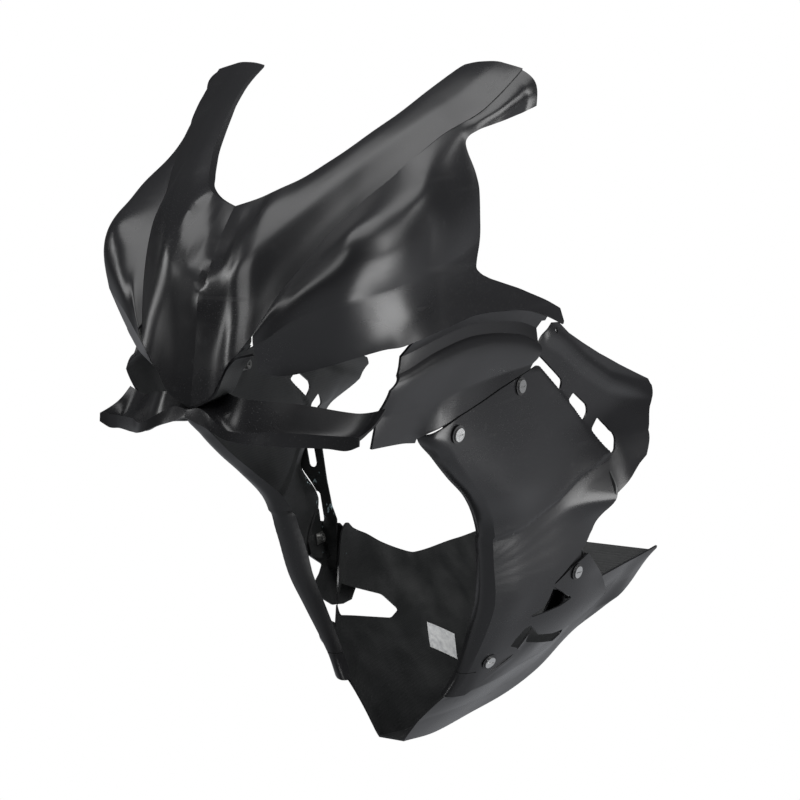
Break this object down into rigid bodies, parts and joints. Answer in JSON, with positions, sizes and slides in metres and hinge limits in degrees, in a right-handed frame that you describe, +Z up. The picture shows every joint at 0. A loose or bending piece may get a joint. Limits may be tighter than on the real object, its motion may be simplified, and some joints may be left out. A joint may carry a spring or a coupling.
{
  "type": "motorcycle fairing set",
  "caption": "Black track motorcycle bodywork: nose and upper fairing with screen arms, vented side panels and a belly pan joined by quarter-turn studs",
  "frame": {"origin": "on the symmetry plane, midway along the bodywork's length, at the height of the belly's lowest point", "axes": "+X to the bike's left, -Y to the front, +Z up; the bodywork is held as it sits on the bike"},
  "size_m": [0.5272, 1.09, 0.9249],
  "materials": {
    "gelcoat": "gloss black gel coat with fine scratches and dust",
    "fastener": "bright anodised",
    "clip": "zinc plated",
    "washer": "matte black",
    "paper": "matte white paper"
  },
  "bodies": {
    "root": {"upper_fairing": "gelcoat", "left_side_panel": "gelcoat", "right_side_panel": "gelcoat", "left_duct_flange": "gelcoat", "right_duct_flange": "gelcoat", "belly_pan": "gelcoat", "quarter_turn_studs": "fastener", "stud_washers": "washer", "stud_receptacles": "clip", "blank_label": "paper"}
  },
  "joints": []
}
